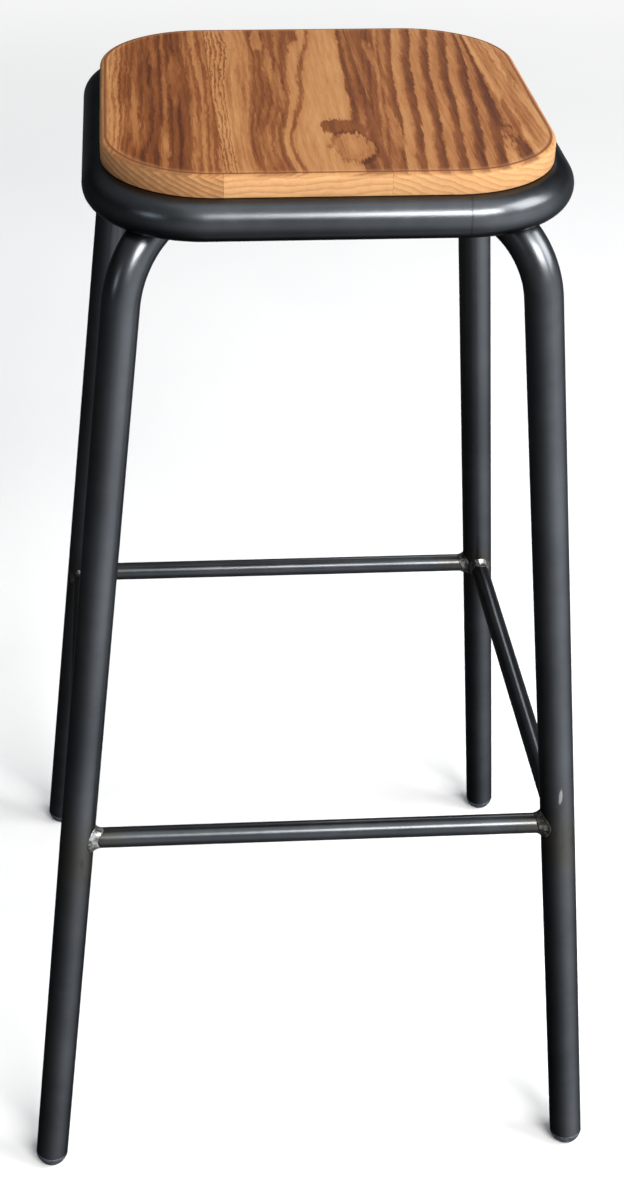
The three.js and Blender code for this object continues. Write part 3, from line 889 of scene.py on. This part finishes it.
def seatPanel():
    low, high, steps = seatLook["bottomRound"], seatLook["topRound"], seatLook["roundSteps"]
    rest = ringHeight + ringTube + 0.00003  # the boards sit down on the ring
    turns = [math.pi / 2 * step / steps for step in range(steps + 1)]
    levels = [(low * (1 - math.sin(turn)), rest + low * (1 - math.cos(turn))) for turn in turns]
    levels += [(high * (1 - math.cos(turn)), seatTop - high * (1 - math.sin(turn))) for turn in turns]
    # a narrow level strip inside each rounding keeps the broad faces flat in the light
    levels = [(low + seatLook["strip"], rest)] + levels + [(high + seatLook["strip"], seatTop)]
    panel = bmesh.new()
    loops = [[panel.verts.new((x, y, z)) for x, y in outlineAt(offset)] for offset, z in levels]
    for lower, upper in zip(loops, loops[1:]):
        for i in range(len(lower)):
            j = (i + 1) % len(lower)
            panel.faces.new((lower[i], lower[j], upper[j], upper[i]))
    panel.faces.new(list(reversed(loops[0])))
    panel.faces.new(loops[-1])
    return panel


# each board is the whole panel cut at its joints; the outer two keep their outer side
jointGap = 0.00006
outside = 1.0
joints = [boxOf("seat_board_" + side)[1].x + 0.00015 for side in ("left", "middle")]
jointEdges = [-outside, *joints, outside]
for number, boardName in enumerate(boardLooks):
    board = seatPanel()
    for cut, inner in ((jointEdges[number] + jointGap, True), (jointEdges[number + 1] - jointGap, False)):
        if abs(cut) > seatHalf:
            continue
        parts = board.verts[:] + board.edges[:] + board.faces[:]
        bmesh.ops.bisect_plane(board, geom=parts, plane_co=(cut, 0, 0), plane_no=(1, 0, 0),
                               clear_inner=inner, clear_outer=not inner)
        rim = [edge for edge in board.edges if edge.is_boundary]
        bmesh.ops.holes_fill(board, edges=rim)
        for edge in rim:
            edge.smooth = False
    bmesh.ops.recalc_face_normals(board, faces=board.faces)
    mesh = bpy.data.meshes.new("board_" + boardName)
    board.to_mesh(mesh)
    board.free()
    mesh.materials.append(materials[boardName])
    mesh.polygons.foreach_set("use_smooth", [True] * len(mesh.polygons))
    settle(addPiece("board_" + boardName, mesh), "seat_wood", "seat_board_" + boardName)
print("seat boards made")

# foot caps
capShape = {"face": 0.0075, "band": 0.0016, "shoulder": 0.0102, "stem": 0.0103,
            "stemLength": 0.024, "sides": 56, "curve": 9}


def capMesh(name, turnDegrees):
    look = capShape
    radius = legLook["radius"]
    dome = look["shoulder"] - look["band"]
    profile = [(look["face"] * 0.5, 0.0), (look["face"], 0.0)]
    for step in range(1, look["curve"] + 1):
        angle = math.pi / 2 * step / look["curve"]
        blend = 0.55 * step / look["curve"]
        reach = blend + 0.45 * math.sin(angle) if step < look["curve"] else 1.0
        lift = blend + 0.45 * (1 - math.cos(angle)) if step < look["curve"] else 1.0
        profile.append((look["face"] + (radius - look["face"]) * reach, dome * lift))
    profile += [(radius, look["shoulder"] - 0.0004), (radius - 0.0004, look["shoulder"])]
    profile += [(look["stem"], look["shoulder"]), (look["stem"], look["shoulder"] + look["stemLength"])]
    foot, along, inward = legParts(turnDegrees)[:3]
    side = along.cross(inward)
    points, faces = [], []
    for r, h in profile:
        for step in range(look["sides"]):
            angle = 2 * math.pi * step / look["sides"]
            spot = foot + along * h + (inward * math.cos(angle) + side * math.sin(angle)) * r
            spot.z = max(spot.z, 0.0)
            points.append(spot)
    for level in range(len(profile) - 1):
        for step in range(look["sides"]):
            nextStep = (step + 1) % look["sides"]
            low, high = level * look["sides"], (level + 1) * look["sides"]
            faces.append((low + step, low + nextStep, high + nextStep, high + step))
    faces.append(list(range(look["sides"] - 1, -1, -1)))
    top = (len(profile) - 1) * look["sides"]
    faces.append(list(range(top, top + look["sides"])))
    return meshOf(name, points, faces, materials["cap"])


for cornerName, cornerTurn in cornerTurns.items():
    cap = addPiece("cap_" + cornerName, capMesh("cap_" + cornerName, cornerTurn))
    settle(cap, "foot_plastic", "foot_cap_" + cornerName)
print("foot caps made")

# the CAD's tabs, washers, screws and tab welds keep their shapes and take finishes
for nodeName, node in frame["nodes"].items():
    finish = None
    if nodeName.startswith("seat_tab_weld"):
        finish = materials["weld"]
    elif nodeName.startswith("seat_tab"):
        finish = materials["steel"]
    elif nodeName.startswith(("seat_washer", "seat_screw")):
        finish = materials["zinc"]
    if finish is not None:
        node.data.materials.clear()
        node.data.materials.append(finish)

# floor, light and camera
floorLook = {
    "size": 30.0,
    "colour": (0.82, 0.82, 0.815),
    "cloud": (0.79, 0.79, 0.79),
    "roughness": 0.75,
    "fadeFrom": 1.7,
    "fadeTo": 3.4,
    "far": (0.95, 0.95, 0.95),
}


def twoWay(tree, share, first, second):
    made = addNode(tree, "ShaderNodeMixShader", {"Fac": share})
    tree.links.new(first, made.inputs[1])
    tree.links.new(second, made.inputs[2])
    return made.outputs[0]


def floorFinish():
    look = floorLook
    material, tree, shader = newMaterial("paleFloor")
    place = objectPlace(tree)
    cloud = bandOf(tree, noiseOf(tree, place, 2.0, 3), 0.2, 0.8)
    paint(tree, shader, {"Base Color": mixColour(tree, cloud, look["colour"], look["cloud"]),
                         "Roughness": look["roughness"]})
    # far out it turns into the backdrop, as a studio sweep does
    farOut = bandOf(tree, vectorCalc(tree, "LENGTH", place), look["fadeFrom"], look["fadeTo"])
    sweep = addNode(tree, "ShaderNodeEmission", {"Color": (*look["far"], 1)})
    top = twoWay(tree, farOut, shader.outputs[0], sweep.outputs[0])
    # seen from below the floor is clear, so the underside can be looked at
    fromBelow = addNode(tree, "ShaderNodeNewGeometry").outputs["Backfacing"]
    clear = addNode(tree, "ShaderNodeBsdfTransparent")
    surface = twoWay(tree, fromBelow, top, clear.outputs[0])
    tree.links.new(surface, tree.nodes["Material Output"].inputs["Surface"])
    return material


half = floorLook["size"] / 2
floorCorners = [(-half, -half, 0), (half, -half, 0), (half, half, 0), (-half, half, 0)]
floor = addPiece("floor", meshOf("floor", floorCorners, [(0, 1, 2, 3)], floorFinish(), False))
floor.visible_glossy = False  # the tubes mirror the room alone and keep their dark sides

lights = {
    "key": {"place": (1.45, -3.3, 3.1), "aim": (0, 0, 0.6),
            "width": 2.3, "height": 1.3, "power": 225, "colour": (1, 0.985, 0.96)},
    "window": {"place": (2.8, -0.8, 2.6), "aim": (0, 0, 0.7),
               "width": 1.9, "height": 1.8, "power": 110, "colour": (1, 0.99, 0.98)},
    "back": {"place": (0.8, 3.1, 2.75), "aim": (0.1, 0, 0.5),
             "width": 0.7, "height": 0.5, "power": 9, "colour": (1, 1, 1)},
    "overhead": {"place": (0.2, -0.4, 2.6), "aim": (0, 0, 0.7),
                 "width": 1.8, "height": 1.8, "power": 5, "colour": (1, 1, 1)},
    "fill": {"place": (-2.0, -1.6, 1.5), "aim": (0, 0, 0.5),
             "width": 0.6, "height": 0.6, "power": 4, "colour": (0.82, 0.9, 1)},
}
for lightName, setup in lights.items():
    lamp = bpy.data.lights.new(lightName, "AREA")
    lamp.shape = "RECTANGLE"
    lamp.size, lamp.size_y = setup["width"], setup["height"]
    lamp.energy, lamp.color = setup["power"], setup["colour"]
    lampObject = bpy.data.objects.new(lightName, lamp)
    lampObject.location = setup["place"]
    beam = Vector(setup["aim"]) - Vector(setup["place"])
    lampObject.rotation_euler = beam.to_track_quat("-Z", "Y").to_euler()
    bpy.context.scene.collection.objects.link(lampObject)

# the room: a bright window side to the right and front, falling off to a dark side on the left,
# before a plain backdrop
roomLook = {"brightSide": (0.82, -0.57, 0.0), "level": 0.29, "contrast": 1.9, "ceiling": 0.32,
            "downward": 0.74, "darkSide": 0.035, "colour": (0.93, 0.96, 1.0), "backdrop": floorLook["far"]}
world = bpy.data.worlds.new("studio")
world.use_nodes = True
room = world.node_tree
heading = addNode(room, "ShaderNodeTexCoord").outputs["Generated"]
level = vectorCalc(room, "NORMALIZE", vectorCalc(room, "MULTIPLY", heading, (1, 1, 0)))
toBright = vectorCalc(room, "DOT_PRODUCT", level, roomLook["brightSide"])
glow = product(room, calc(room, "EXPONENT", product(room, toBright, roomLook["contrast"])), roomLook["level"])
glow = total(room, glow, roomLook["darkSide"])
rise = addNode(room, "ShaderNodeSeparateXYZ", {"Vector": heading}).outputs["Z"]
aloft = bandOf(room, rise, -0.05, 0.25)
above = product(room, bandOf(room, rise, 0.2, 0.95), roomLook["ceiling"])
below = product(room, bandOf(room, product(room, rise, -1.0), 0.36, 0.9), roomLook["downward"])
glow = product(room, glow, calc(room, "SUBTRACT", 1.0, below))
glow = total(room, product(room, glow, calc(room, "SUBTRACT", 1.0, product(room, aloft, 0.55))), above)
backdrop = room.nodes["Background"]
seenDirect = addNode(room, "ShaderNodeLightPath").outputs["Is Camera Ray"]
plain = mixTone(room, seenDirect, glow, 1.0)
paint(room, backdrop, {"Color": mixColour(room, seenDirect, roomLook["colour"], roomLook["backdrop"]),
                       "Strength": plain})
bpy.context.scene.world = world
bpy.context.scene.view_settings.view_transform = "Standard"

view = {"place": (-0.12787, -1.18938, 1.20477), "turn": 0.0671, "tilt": -0.5958, "roll": 0.0105,
        "lens": 55.107, "shift": 0.06}
ahead = Vector((math.sin(view["turn"]), math.cos(view["turn"]), 0))
forward = ahead * math.cos(view["tilt"]) + upward * math.sin(view["tilt"])
levelRight = Vector((math.cos(view["turn"]), -math.sin(view["turn"]), 0))
levelUp = levelRight.cross(forward)
right = levelRight * math.cos(view["roll"]) + levelUp * math.sin(view["roll"])
top = levelUp * math.cos(view["roll"]) - levelRight * math.sin(view["roll"])
cameraData = bpy.data.cameras.new("camera")
cameraData.lens, cameraData.shift_x, cameraData.sensor_width = view["lens"], view["shift"], 36
camera = bpy.data.objects.new("camera", cameraData)
camera.matrix_world = Matrix.Translation(view["place"]) @ Matrix((right, top, -forward)).transposed().to_4x4()
bpy.context.scene.collection.objects.link(camera)
bpy.context.scene.camera = camera
print("stage set")
